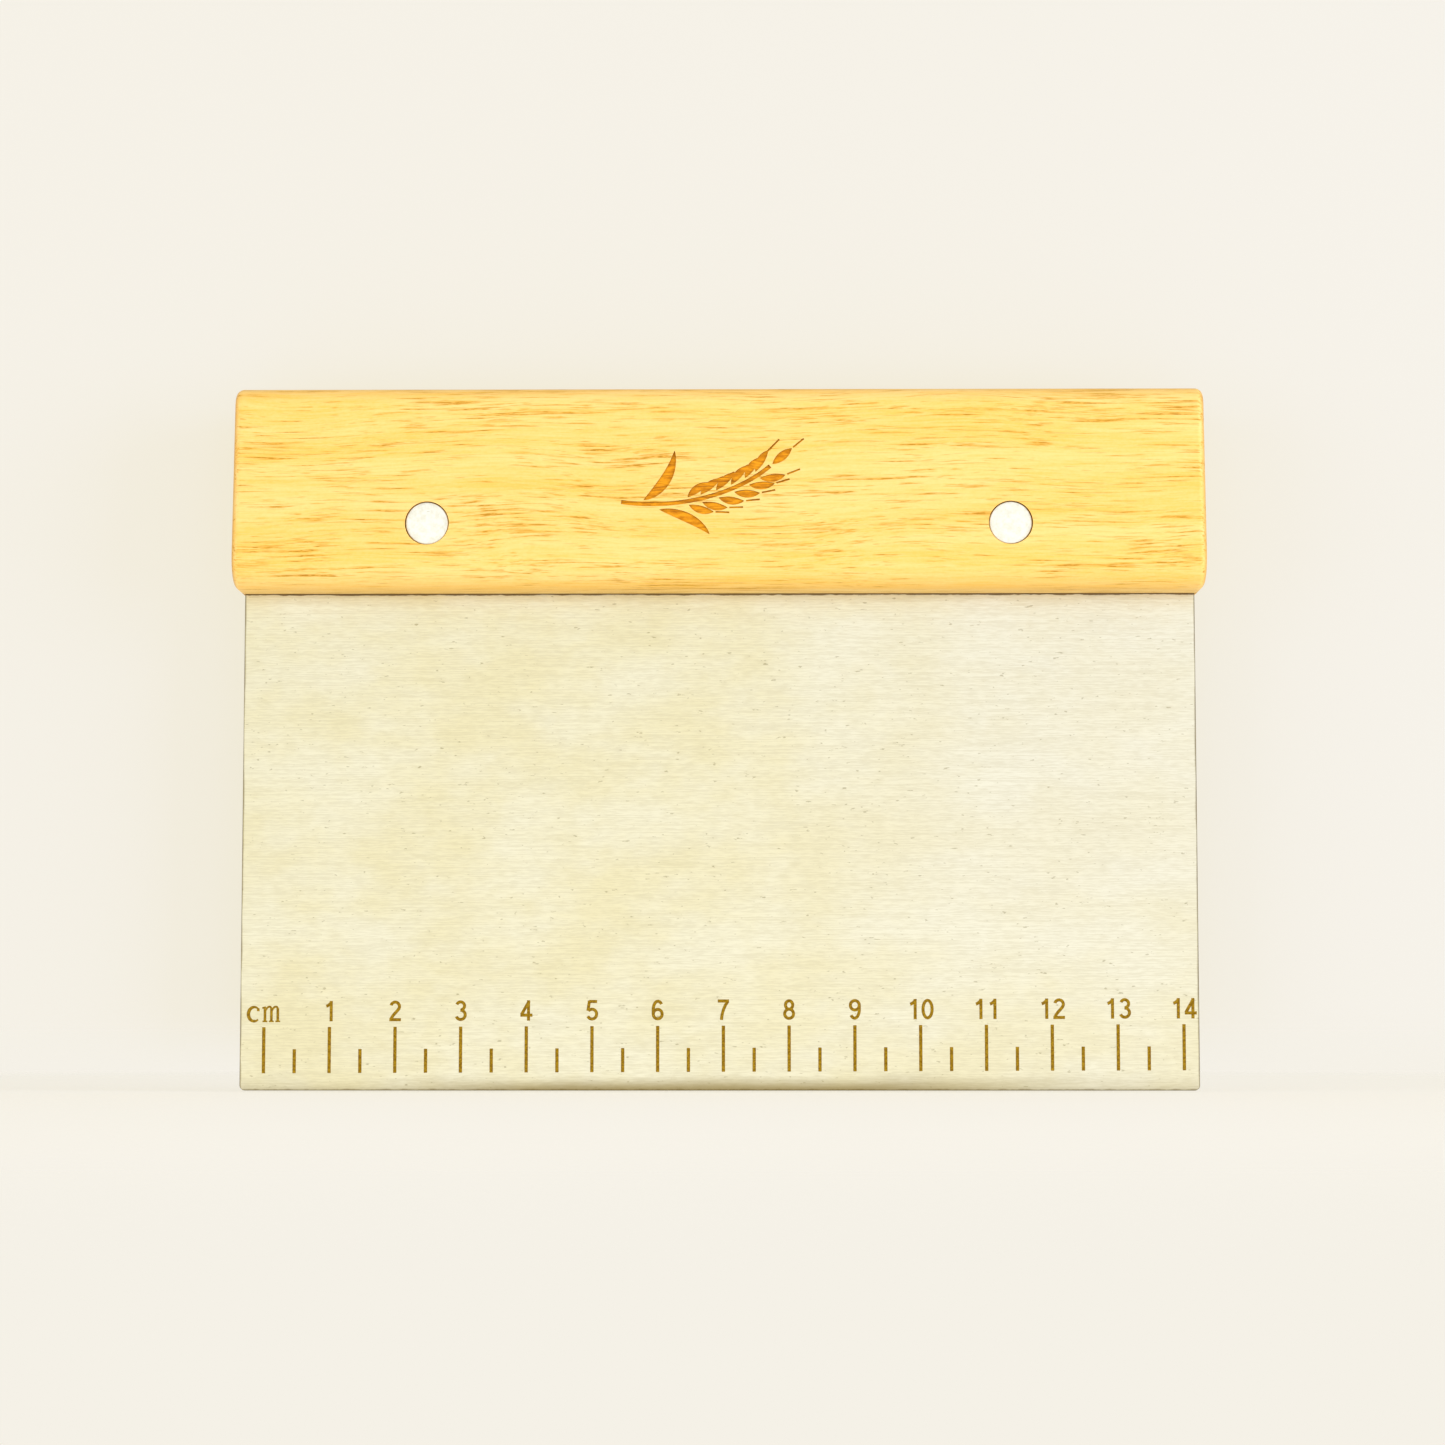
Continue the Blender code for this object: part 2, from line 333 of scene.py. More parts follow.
# Centre lines of the figures, one unit high with x = 0 at the middle of each.
FIGURES = {
    "0": [bow(0, 0.5, 0.215, 0.43, 0, 360)],
    "1": [
        [(0.075, 0), (0.075, 1)],
        sweep((0.075, 0.93), (0.02, 0.84), (-0.06, 0.77), (-0.16, 0.74)),
    ],
    "2": [
        bow(0, 0.715, 0.2, 0.215, 165, 0)
        + sweep((0.2, 0.715), (0.2, 0.52), (-0.12, 0.36), (-0.2, 0.07))[1:],
        [(-0.275, 0.07), (0.275, 0.07)],
    ],
    "3": [
        bow(-0.01, 0.735, 0.185, 0.195, 160, -80),
        bow(-0.005, 0.295, 0.215, 0.225, 95, -160),
    ],
    "4": [
        [(0.1, 0), (0.1, 1)],
        [(0.13, 0.96), (-0.235, 0.29)],
        [(-0.285, 0.27), (0.285, 0.27)],
    ],
    "5": [
        [(-0.14, 0.93), (0.24, 0.93)],
        [(-0.125, 0.97), (-0.19, 0.47)],
        bow(0, 0.31, 0.215, 0.24, 142, -155),
    ],
    "6": SIX,
    "7": [
        [(-0.265, 0.93), (0.265, 0.93)],
        sweep((0.225, 0.93), (0.06, 0.72), (-0.07, 0.38), (-0.09, 0)),
    ],
    "8": [bow(0, 0.725, 0.17, 0.205, 0, 360), bow(0, 0.295, 0.21, 0.225, 0, 360)],
    "9": half_turned(SIX),
}


def unit_strokes():
    """The letters cm with serifs, one unit high, from the left of the c."""
    opening = bow(0.45, 0.5, 0.36, 0.44, 48, 312)
    swell = [0.11 + 0.11 * math.sin(math.pi * n / (len(opening) - 1)) for n in range(len(opening))]
    strokes = [(opening, swell), ([(0.70, 0.86), (0.70, 0.68)], 0.17)]
    left = 1.12
    pitch = 0.40
    for number in range(3):
        x = left + number * pitch
        strokes.append(([(x, 0), (x, 0.86)], 0.17))
        strokes.append(([(x - 0.15, 0.05), (x + 0.15, 0.05)], 0.10))
        if number:
            start = x - pitch
            strokes.append((sweep((start, 0.62), (start + 0.1, 1.02), (x, 1.06), (x, 0.78)), 0.13))
    strokes.append(([(left - 0.17, 0.87), (left + 0.05, 0.94)], 0.11))
    return strokes


def scaled(strokes, size, x, y):
    """Strokes of unit height at their real size and place on the scale."""
    grown = []
    for points, widths in strokes:
        if hasattr(widths, "__len__"):
            real_widths = [width * size for width in widths]
        else:
            real_widths = widths * size
        grown.append(([(x + px * size, y + py * size) for px, py in points], real_widths))
    return grown


def build_ticks(front_y, material):
    """The long and the short marks, each made once and repeated along the scale."""
    rows = ((0, LONG_TICK, CENTIMETRES + 1), (SHORT_TICK_PLACE, SHORT_TICK, CENTIMETRES))
    for start, length, count in rows:
        x = SCALE_ZERO_X + start
        low_z = SCALE_FOOT_Z + start * SCALE_SLOPE
        low = (x - TICK_WIDTH / 2, front_y - MARK_PROUD, low_z)
        high = (x + TICK_WIDTH / 2, front_y - MARK_PROUD + MARK_THICKNESS, low_z + length)
        name = "long_ticks" if start == 0 else "short_ticks"
        ticks = add_box(name, low, high)
        pick(ticks, "edges", lambda e: abs(e.verts[0].co.y - e.verts[1].co.y) > MARK_THICKNESS / 2)
        bpy.ops.mesh.bevel(offset=TICK_EASE, segments=3, profile=0.5)
        leave_edit()
        repeat = ticks.modifiers.new("repeat", "ARRAY")
        repeat.count = count
        repeat.use_relative_offset = False
        repeat.use_constant_offset = True
        repeat.constant_offset_displace = (CENTIMETRE, 0, SCALE_SLOPE * CENTIMETRE)
        bpy.ops.object.modifier_apply(modifier=repeat.name)
        ticks.data.materials.append(material)
        settle(ticks, "stainless_steel")


def build_figures(front_y, material):
    """The figures over the long marks and the unit over the first."""

    def place(across, up, out):
        x = SCALE_ZERO_X + across
        return (x, front_y - out, SCALE_FOOT_Z + up + across * SCALE_SLOPE)

    front, back = MARK_PROUD, MARK_PROUD - MARK_THICKNESS
    strokes = []
    for centimetre in range(1, CENTIMETRES + 1):
        label = str(centimetre)
        for number, figure in enumerate(label):
            x = centimetre * CENTIMETRE + (number - (len(label) - 1) / 2) * FIGURE_PITCH
            lines = [
                ([(across * FIGURE_BREADTH, up) for across, up in points], FIGURE_STROKE)
                for points in FIGURES[figure]
            ]
            strokes += scaled(lines, FIGURE_HEIGHT, x, FIGURE_BASE)
    figures = strokes_piece("scale_figures", strokes, place, front, back)
    strokes = scaled(unit_strokes(), UNIT_HEIGHT, -UNIT_START, UNIT_BASE)
    unit = strokes_piece("scale_unit", strokes, place, front, back)
    for piece in (figures, unit):
        piece.data.materials.append(material)
    apply_boolean(figures, unit, "UNION", own=True)
    clean(figures)
    settle(figures, "stainless_steel")


# ---------------------------------------------------------------- burnt wheat ear


def wheat_strokes():
    """A wheat ear on a curved stem with two leaves, in millimetres from its middle."""
    stem = sweep((-14.0, -3.4), (-6.0, -4.6), (3.0, -2.6), (8.6, 2.2), steps=48)
    strokes = [(stem, 0.65)]
    pairs = 6
    for pair in range(pairs):
        index = round((0.41 + 0.59 * pair / pairs) * (len(stem) - 1))
        ahead, behind = stem[index + 1], stem[index - 1]
        run = math.atan2(ahead[1] - behind[1], ahead[0] - behind[0])
        for side in (1, -1):
            out = run + side * math.pi / 2
            foot = (stem[index][0] + 0.62 * math.cos(out), stem[index][1] + 0.62 * math.sin(out))
            strokes += kernel(foot, run + side * math.radians(38), -side * 0.45, 3.9, 1.22)
    run = math.atan2(stem[-1][1] - stem[-2][1], stem[-1][0] - stem[-2][0])
    tip = (stem[-1][0] + 0.5 * math.cos(run), stem[-1][1] + 0.5 * math.sin(run))
    strokes += kernel(tip, run, 0.0, 3.8, 1.35)
    upper_leaf = sweep((-10.6, -3.1), (-8.4, -1.9), (-6.2, 0.6), (-5.9, 4.6), steps=24)
    lower_leaf = sweep((-8.2, -4.6), (-5.4, -5.0), (-2.4, -6.2), (-0.6, -8.4), steps=24)
    strokes.append((upper_leaf, taper(len(upper_leaf), 1.7)))
    strokes.append((lower_leaf, taper(len(lower_leaf), 1.5)))
    return strokes


def taper(count, width):
    """Widths that swell from a point to the full width and back to a point."""
    return [max(0.05, width * math.sin(math.pi * n / (count - 1)) ** 0.75) for n in range(count)]


def kernel(start, turn, bend, length, width):
    """One grain and its awn, from its foot, in a direction that bends on the way."""
    points = []
    x, y = start
    steps = 16
    for step in range(steps + 1):
        points.append((x, y))
        heading = turn + bend * step / steps
        x += length / steps * math.cos(heading)
        y += length / steps * math.sin(heading)
    tip = points[-1]
    heading = turn + bend
    awn_end = (tip[0] + 2.4 * math.cos(heading), tip[1] + 2.4 * math.sin(heading))
    awn_start = (tip[0] + 0.3 * math.cos(heading), tip[1] + 0.3 * math.sin(heading))
    return [(points, taper(len(points), width)), ([awn_start, awn_end], 0.26)]


def wheat_tool(base_z, slope, material):
    """The shape that is burnt out of the handle's sloping front."""
    lean = math.atan(slope)
    middle = Vector((WHEAT_X, slope * (WHEAT_Z - base_z) - HANDLE_BOTTOM_THICKNESS / 2, WHEAT_Z))
    up = Vector((0, math.sin(lean), math.cos(lean)))
    outward = Vector((0, -math.cos(lean), math.sin(lean)))

    def place(across, height, out):
        return middle + Vector((across * MM, 0, 0)) + up * height * MM + outward * out

    tool = strokes_piece("wheat_tool", wheat_strokes(), place, BURN_OVERRUN, -BURN_DEPTH)
    tool.data.materials.append(material)
    return tool


# ---------------------------------------------------------------- handle


def handle_block(low, high, lean):
    """The block before it is sawn: tapered towards its top, with rounded edges."""
    half_bottom = HANDLE_BOTTOM_THICKNESS / 2
    block = add_box("handle_block", (low.x, -half_bottom, low.z), (high.x, half_bottom, high.z))
    pick(block, "verts", lambda v: near(v.co.z, high.z))
    bpy.ops.transform.resize(value=(1, HANDLE_TOP_THICKNESS / HANDLE_BOTTOM_THICKNESS, 1))

    def long_edge(edge, z):
        a, b = (v.co for v in edge.verts)
        return near(a.z, z) and near(b.z, z) and abs(a.x - b.x) > 10 * MM

    corner = (math.pi / 2 - lean) / 2
    pick(block, "edges", lambda e: long_edge(e, low.z))
    bpy.ops.mesh.bevel(offset=HANDLE_BOTTOM_RADIUS / math.tan(corner), segments=18, profile=0.5)
    corner = (math.pi / 2 + lean) / 2
    pick(block, "edges", lambda e: long_edge(e, high.z))
    bpy.ops.mesh.bevel(offset=HANDLE_TOP_RADIUS / math.tan(corner), segments=14, profile=0.5)

    def end_edge(edge):
        a, b = (v.co for v in edge.verts)
        return near(a.x, b.x) and near(abs(a.x), high.x)

    pick(block, "edges", end_edge)
    bpy.ops.mesh.bevel(offset=HANDLE_END_RADIUS, segments=7, profile=0.5)
    leave_edit()
    return block


def kerf_tool(low, high, material):
    """The saw cut that takes the blade's tang, a little wider at its mouth."""
    blade_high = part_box("blade")[1]
    half_kerf = blade_high.y + KERF_CLEARANCE
    top = blade_high.z + KERF_TOP_CLEARANCE
    kerf = add_box(
        "kerf_tool",
        (low.x - OVERRUN, -half_kerf, low.z - OVERRUN),
        (high.x + OVERRUN, half_kerf, top),
    )
    mouth = low.z + KERF_FLARE
    pick(kerf, "faces", lambda f: True)
    bpy.ops.mesh.bisect(plane_co=(0, 0, mouth), plane_no=(0, 0, 1))
    pick(kerf, "verts", lambda v: v.co.z < mouth - OVERRUN / 2)
    widening = 1 + (mouth - low.z + OVERRUN) / half_kerf
    bpy.ops.transform.resize(value=(1, widening, 1))
    leave_edit()
    kerf.data.materials.append(material)
    return kerf


def build_handle(materials, rivet_places, head_radius, head_face):
    """The wooden handle: its block, sawn, bored and burnt."""
    low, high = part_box("handle")
    slope = (HANDLE_BOTTOM_THICKNESS - HANDLE_TOP_THICKNESS) / 2 / (high.z - low.z)
    handle = handle_block(low, high, math.atan(slope))
    for material in materials:
        handle.data.materials.append(material)
    _, sawn, burnt = materials
    apply_boolean(handle, kerf_tool(low, high, sawn))

    seat = head_face - HEAD_THICKNESS - SEAT_CLEARANCE
    outside = HANDLE_BOTTOM_THICKNESS / 2 + OVERRUN
    for place in rivet_places:
        drill_through(handle, SLEEVE_RADIUS + BORE_CLEARANCE, place, -outside, outside, sawn)
        drill_through(handle, head_radius + HEAD_CLEARANCE, place, -outside, -seat, sawn)
        drill_through(handle, head_radius + HEAD_CLEARANCE, place, seat, outside, sawn)
    apply_boolean(handle, wheat_tool(low.z, slope, burnt), own=True)
    clean(handle)
    shade(handle)
    settle(handle, "wood", "handle")


# ---------------------------------------------------------------- blade


def build_blade(material, rivet_places):
    """The steel sheet, with rounded corners, eased sides and a rolled-over scraping edge."""
    low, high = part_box("blade")
    blade = add_box("blade_sheet", low, high)
    half = high.y

    def corner_edge(edge):
        a, b = (v.co for v in edge.verts)
        return near(a.x, b.x) and near(a.z, b.z)

    pick(blade, "edges", corner_edge)
    bpy.ops.mesh.bevel(offset=BLADE_CORNER_RADIUS, segments=10, profile=0.5)
    pick(blade, "faces", lambda f: abs(f.normal.y) > 0.9)
    bpy.ops.mesh.region_to_loop()
    bpy.ops.mesh.bevel(offset=SIDE_EASE, segments=3, profile=0.5)

    rings = 9
    heights = [EDGE_ROLL_HEIGHT * (ring / rings) ** 1.6 for ring in range(1, rings + 1)]
    for height in heights:
        pick(blade, "faces", lambda f: True)
        bpy.ops.mesh.bisect(plane_co=(0, 0, low.z + height), plane_no=(0, 0, 1))

    def half_at(height):
        share = min(1.0, height / EDGE_ROLL_HEIGHT)
        return EDGE_LAND / 2 + (half - EDGE_LAND / 2) * math.sqrt(1 - (1 - share) ** 2)

    pick(blade, "verts", lambda v: False)
    bm = bmesh.from_edit_mesh(blade.data)
    roll_top = low.z + EDGE_ROLL_HEIGHT
    levels = sorted({round(v.co.z - low.z, 7) for v in bm.verts if v.co.z < roll_top})
    for level in levels:
        pick(blade, "verts", lambda v: near(v.co.z, low.z + level, 1e-7))
        bpy.ops.transform.resize(value=(1, half_at(level) / half, 1))

    leave_edit()
    blade.data.materials.append(material)
    for place in rivet_places:
        drill_through(blade, SLEEVE_RADIUS + BORE_CLEARANCE, place, -OVERRUN, OVERRUN, material)
    shade(blade, 20)
    settle(blade, "stainless_steel", "blade")
    return low.y


# ---------------------------------------------------------------- rivets


def build_rivet_half(name, node, material, hollow):
    """One turned half of a rivet: a low-domed head, its eased rim, and a pin or a sleeve."""
    low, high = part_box(node)
    towards = -1 if abs(low.y) > abs(high.y) else 1
    face = max(abs(low.y), abs(high.y))
    end = min(abs(low.y), abs(high.y))
    radius = (high.x - low.x) / 2
    x, z = (low.x + high.x) / 2, (low.z + high.z) / 2
    back = face - HEAD_THICKNESS

    def at(distance):
        return Vector((x, towards * distance, z))

    half = add_cylinder(name, radius, at(back), at(face - HEAD_DOME))

    def cap(f, distance):
        level = f.calc_center_median().y
        return near(level, towards * distance) and abs(f.normal.y) > 0.9

    pick(half, "faces", lambda f: cap(f, face - HEAD_DOME))
    bpy.ops.mesh.region_to_loop()
    bpy.ops.mesh.bevel(offset=RIM_EASE, segments=4, profile=0.5)
    pick(half, "faces", lambda f: cap(f, face - HEAD_DOME))
    rings = 8
    reach = radius - RIM_EASE
    level = 0
    for ring in range(1, rings):
        share = ring / rings
        height = HEAD_DOME * (1 - (1 - share) ** 2)
        bpy.ops.mesh.inset(thickness=reach / rings, depth=height - level)
        level = height
    pick(half, "faces", lambda f: cap(f, back))
    shank = SLEEVE_RADIUS if hollow else PIN_RADIUS
    bpy.ops.mesh.inset(thickness=radius - shank, depth=0)
    down = Vector((0, -towards, 0))
    length = back + end
    bpy.ops.mesh.extrude_region_move(TRANSFORM_OT_translate={"value": down * length})
    if hollow:
        bpy.ops.mesh.inset(thickness=SLEEVE_RADIUS - SLEEVE_BORE_RADIUS, depth=0)
        bpy.ops.mesh.extrude_region_move(TRANSFORM_OT_translate={"value": -down * length})
    leave_edit()
    half.data.materials.append(material)
    shade(half, 35)
    settle(half, "aluminium", node)


# ---------------------------------------------------------------- material helpers


class Sheet:
    """A node tree being drawn, with short ways to add its nodes."""

    def __init__(self, tree):
        self.tree = tree

    def add(self, kind, **settings):
        """A node of this kind with these properties."""
        made = self.tree.nodes.new(kind)
        for name, value in settings.items():
            setattr(made, name, value)
        return made

    def put(self, socket, value):
        """Sets a socket to a value or links it to another socket."""
        if isinstance(value, bpy.types.NodeSocket):
            self.tree.links.new(value, socket)
        elif value is not None:
            socket.default_value = value

    def calc(self, operation, a, b=None, clamp=False):
        """A Math node."""
        made = self.add("ShaderNodeMath", operation=operation, use_clamp=clamp)
        for socket, value in zip(made.inputs, (a, b)):
            self.put(socket, value)
        return made.outputs[0]

    def axes(self, vector):
        """The X, Y and Z of a vector, by name."""
        made = self.add("ShaderNodeSeparateXYZ")
        self.put(made.inputs[0], vector)
        return made.outputs

    def stretched(self, vector, sizes):
        """A position counted in grains of these sizes in millimetres."""
        made = self.add("ShaderNodeVectorMath", operation="MULTIPLY")
        self.put(made.inputs[0], vector)
        made.inputs[1].default_value = [1 / (size * MM) for size in sizes]
        return made.outputs[0]

    def noise(self, vector, sizes, detail=2.0, roughness=0.5):
        """Noise whose grains have these sizes in millimetres."""
        made = self.add("ShaderNodeTexNoise")
        self.put(made.inputs["Vector"], self.stretched(vector, sizes))
        made.inputs["Scale"].default_value = 1.0
        made.inputs["Detail"].default_value = detail
        made.inputs["Roughness"].default_value = roughness
        return made.outputs["Fac"]

    def step(self, value, start, end, low=0.0, high=1.0):
        """A value eased from low to high between start and end."""
        made = self.add("ShaderNodeMapRange", interpolation_type="SMOOTHSTEP")
        for socket, given in zip(made.inputs, (value, start, end, low, high)):
            self.put(socket, given)
        return made.outputs[0]

    def blend(self, share, a, b):
        """Two colours mixed by a share."""
        made = self.add("ShaderNodeMix", data_type="RGBA")
        self.put(made.inputs[0], share)
        self.put(made.inputs[6], a if isinstance(a, bpy.types.NodeSocket) else (*a, 1))
        self.put(made.inputs[7], b if isinstance(b, bpy.types.NodeSocket) else (*b, 1))
        return made.outputs[2]

    def tint(self, colour, mask, share, tinted):
        """A colour turned to another by a share of a mask."""
        return self.blend(self.calc("MULTIPLY", mask, share), colour, tinted)

    def place_group(self, group, **values):
        """A node group with these values on its inputs, by name with _ for a space."""
        made = self.add("ShaderNodeGroup", node_tree=group)
        for name, value in values.items():
            self.put(made.inputs[name.replace("_", " ")], value)
        return made.outputs


def new_group(name, inputs, outputs):
    """An empty node group with named sockets, as (group, sheet, inputs, output node)."""
    group = bpy.data.node_groups.new(name, "ShaderNodeTree")
    for socket, kind, value in inputs:
        made = group.interface.new_socket(socket, in_out="INPUT", socket_type=kind)
        if value is not None:
            made.default_value = value
    for socket, kind in outputs:
        group.interface.new_socket(socket, in_out="OUTPUT", socket_type=kind)
    sheet = Sheet(group)
    entry = sheet.add("NodeGroupInput")
    result = sheet.add("NodeGroupOutput")
    return group, sheet, entry.outputs, result.inputs


FLOAT, VECTOR = "NodeSocketFloat", "NodeSocketVector"


def wood_grain_group():
    """Bands, fibres and pores of a light hardwood whose grain runs along X."""
    group, sheet, given, result = new_group(
        "wood_grain",
        [("Position", VECTOR, None), ("Pore Depth", FLOAT, 1.0)],
        [("Tone", FLOAT), ("Streaks", FLOAT), ("Pores", FLOAT), ("Height", FLOAT)],
    )
    position = given["Position"]
    sway = sheet.noise(position, (46, 24, 24), detail=1.0)
    shift = sheet.calc("MULTIPLY", sheet.calc("SUBTRACT", sway, 0.5), 5 * MM)
    offset = sheet.add("ShaderNodeCombineXYZ")
    sheet.put(offset.inputs["Y"], shift)
    sheet.put(offset.inputs["Z"], shift)
    moved = sheet.add("ShaderNodeVectorMath", operation="ADD")
    sheet.put(moved.inputs[0], position)
    sheet.put(moved.inputs[1], offset.outputs[0])
    grain = moved.outputs[0]

    bands = sheet.noise(grain, (60, 4.0, 4.0), detail=3.0, roughness=0.6)
    fibres = sheet.noise(grain, (9.0, 0.30, 0.30), detail=3.0, roughness=0.7)
    flecks = sheet.noise(grain, (0.6, 0.3, 0.3), detail=2.0)
    crowd = sheet.noise(grain, (24, 4.2, 4.2), detail=2.0)
    long_pores = sheet.noise(grain, (11, 0.34, 0.34), detail=2.0, roughness=0.6)
    short_pores = sheet.noise(grain, (5.5, 0.28, 0.28), detail=2.0, roughness=0.6)
    beads = sheet.noise(grain, (1.3, 0.24, 0.24), detail=2.0, roughness=0.6)

    lift = sheet.step(crowd, 0.33, 0.68, -0.04, 0.06)
    long_value = sheet.calc("ADD", long_pores, lift)
    short_value = sheet.calc("ADD", short_pores, lift)
    long_mask = sheet.step(long_value, 0.57, 0.71)
    short_mask = sheet.step(short_value, 0.60, 0.73, 0.0, 0.85)
    streaks = sheet.calc("MAXIMUM", long_mask, short_mask)
    streaks = sheet.calc("MULTIPLY", streaks, sheet.step(beads, 0.30, 0.60, 0.55, 1.0))
    deepest = sheet.step(long_value, 0.645, 0.73)
    pores = sheet.calc("MULTIPLY", deepest, sheet.step(beads, 0.44, 0.62))

    cloud = sheet.step(bands, 0.30, 0.70, 0.1, 0.8)
    fine = sheet.step(fibres, 0.30, 0.70, -0.32, 0.32)
    fleck = sheet.step(flecks, 0.30, 0.70, -0.12, 0.12)
    tone = sheet.calc("ADD", sheet.calc("ADD", cloud, fine), fleck, clamp=True)
    sunk = sheet.calc("MULTIPLY", streaks, given["Pore Depth"])
    height = sheet.calc("SUBTRACT", sheet.calc("MULTIPLY", fibres, 0.35), sunk)
    sheet.put(result["Tone"], tone)
    sheet.put(result["Streaks"], streaks)
    sheet.put(result["Pores"], pores)
    sheet.put(result["Height"], height)
    return group


def brushed_group():
    """Brush lines along X, blotches and small pits of a rolled and brushed metal."""
    group, sheet, given, result = new_group(
        "brushed_metal",
        [("Position", VECTOR, None), ("Pit Share", FLOAT, 0.5)],
        [("Lines", FLOAT), ("Blotches", FLOAT), ("Pits", FLOAT), ("Height", FLOAT)],
    )
    position = given["Position"]
    long_lines = sheet.noise(position, (18, 3, 0.17), detail=3.0, roughness=0.7)
    short_lines = sheet.noise(position, (1.8, 3, 0.19), detail=2.0, roughness=0.65)
    lines = sheet.calc("MULTIPLY", sheet.calc("ADD", long_lines, short_lines), 0.5)
    blotches = sheet.noise(position, (24, 10, 15), detail=4.0, roughness=0.6)
    specks = sheet.noise(position, (1.1, 1.0, 0.36), detail=2.0, roughness=0.5)
    start = sheet.calc("SUBTRACT", 0.76, sheet.calc("MULTIPLY", given["Pit Share"], 0.1))
    pits = sheet.step(specks, start, sheet.calc("ADD", start, 0.06))
    sheet.put(result["Lines"], sheet.step(lines, 0.36, 0.64))
    sheet.put(result["Blotches"], sheet.step(blotches, 0.33, 0.67))
    sheet.put(result["Pits"], pits)
    sheet.put(result["Height"], sheet.calc("SUBTRACT", lines, sheet.calc("MULTIPLY", pits, 0.6)))
    return group


def new_material(name):
    """An empty material as (material, sheet, its Principled shader, Object coordinates)."""
    material = bpy.data.materials.new(name)
    material.use_nodes = True
    sheet = Sheet(material.node_tree)
    shader = material.node_tree.nodes["Principled BSDF"]
    coordinates = sheet.add("ShaderNodeTexCoord").outputs["Object"]
    return material, sheet, shader, coordinates


def bump(sheet, shader, height, depth, strength):
    """A Bump node of this depth in metres on the shader's normal."""
    made = sheet.add("ShaderNodeBump")
    made.inputs["Distance"].default_value = depth
    made.inputs["Strength"].default_value = strength
    sheet.put(made.inputs["Height"], height)
    sheet.put(shader.inputs["Normal"], made.outputs["Normal"])


# ---------------------------------------------------------------- materials


def end_grain(sheet):
    """How much of the surface is cut across the grain, from 0 on the faces to 1 on the ends."""
    normal = sheet.axes(sheet.add("ShaderNodeNewGeometry").outputs["Normal"])
    return sheet.step(sheet.calc("ABSOLUTE", normal["X"]), 0.35, 0.95)


def oiled_wood(grain):
    """Light hardwood, sanded and oiled, with orange-brown pore lines."""
    material, sheet, shader, position = new_material("oiled_wood")
    parts = sheet.place_group(grain, Position=position, Pore_Depth=1.0)
    colour = sheet.blend(parts["Tone"], (0.89, 0.602, 0.204), (0.87, 0.508, 0.096))
    colour = sheet.tint(colour, parts["Streaks"], 0.90, (0.59, 0.275, 0.006))
    colour = sheet.tint(colour, parts["Pores"], 0.45, (0.32, 0.105, 0.001))
    colour = sheet.tint(colour, end_grain(sheet), 0.55, (0.42, 0.19, 0.035))
    sheet.put(shader.inputs["Base Color"], colour)
    sheet.put(shader.inputs["Roughness"], sheet.step(parts["Streaks"], 0, 1, 0.5, 0.7))
    shader.inputs["Specular IOR Level"].default_value = 0.3
    bump(sheet, shader, parts["Height"], 0.06 * MM, 0.5)
    return material


def sawn_wood(grain):
    """The same wood inside the kerf and the rivet holes, dull and darker from the saw."""
    material, sheet, shader, position = new_material("sawn_wood")
    parts = sheet.place_group(grain, Position=position, Pore_Depth=0.5)
    saw = sheet.noise(position, (0.5, 4, 4), detail=2.0)
    colour = sheet.blend(parts["Tone"], (0.66, 0.39, 0.10), (0.54, 0.28, 0.06))
    colour = sheet.tint(colour, saw, 0.5, (0.34, 0.16, 0.03))
    sheet.put(shader.inputs["Base Color"], colour)
    shader.inputs["Roughness"].default_value = 0.85
    bump(sheet, shader, saw, 0.08 * MM, 0.5)
    return material


def burnt_wood(grain):
    """Wood scorched by the marking: orange on the floor of the lines and brown up their sides."""
    material, sheet, shader, position = new_material("burnt_wood")
    parts = sheet.place_group(grain, Position=position, Pore_Depth=0.8)
    normal = sheet.axes(sheet.add("ShaderNodeNewGeometry").outputs["Normal"])
    wall = sheet.step(sheet.calc("ABSOLUTE", normal["Y"]), 0.5, 0.9, 1.0, 0.0)
    char = sheet.noise(position, (1.8, 0.45, 0.45), detail=3.0, roughness=0.6)
    colour = sheet.blend(sheet.step(char, 0.35, 0.68), (0.80, 0.315, 0.004), (0.52, 0.175, 0.002))
    colour = sheet.tint(colour, parts["Streaks"], 0.7, (0.26, 0.075, 0.001))
    colour = sheet.tint(colour, wall, 0.9, (0.10, 0.03, 0.001))
    sheet.put(shader.inputs["Base Color"], colour)
    sheet.put(shader.inputs["Roughness"], sheet.step(char, 0.3, 0.7, 0.6, 0.85))
    shader.inputs["Specular IOR Level"].default_value = 0.2
    bump(sheet, shader, sheet.calc("ADD", parts["Height"], char), 0.05 * MM, 0.6)
    return material


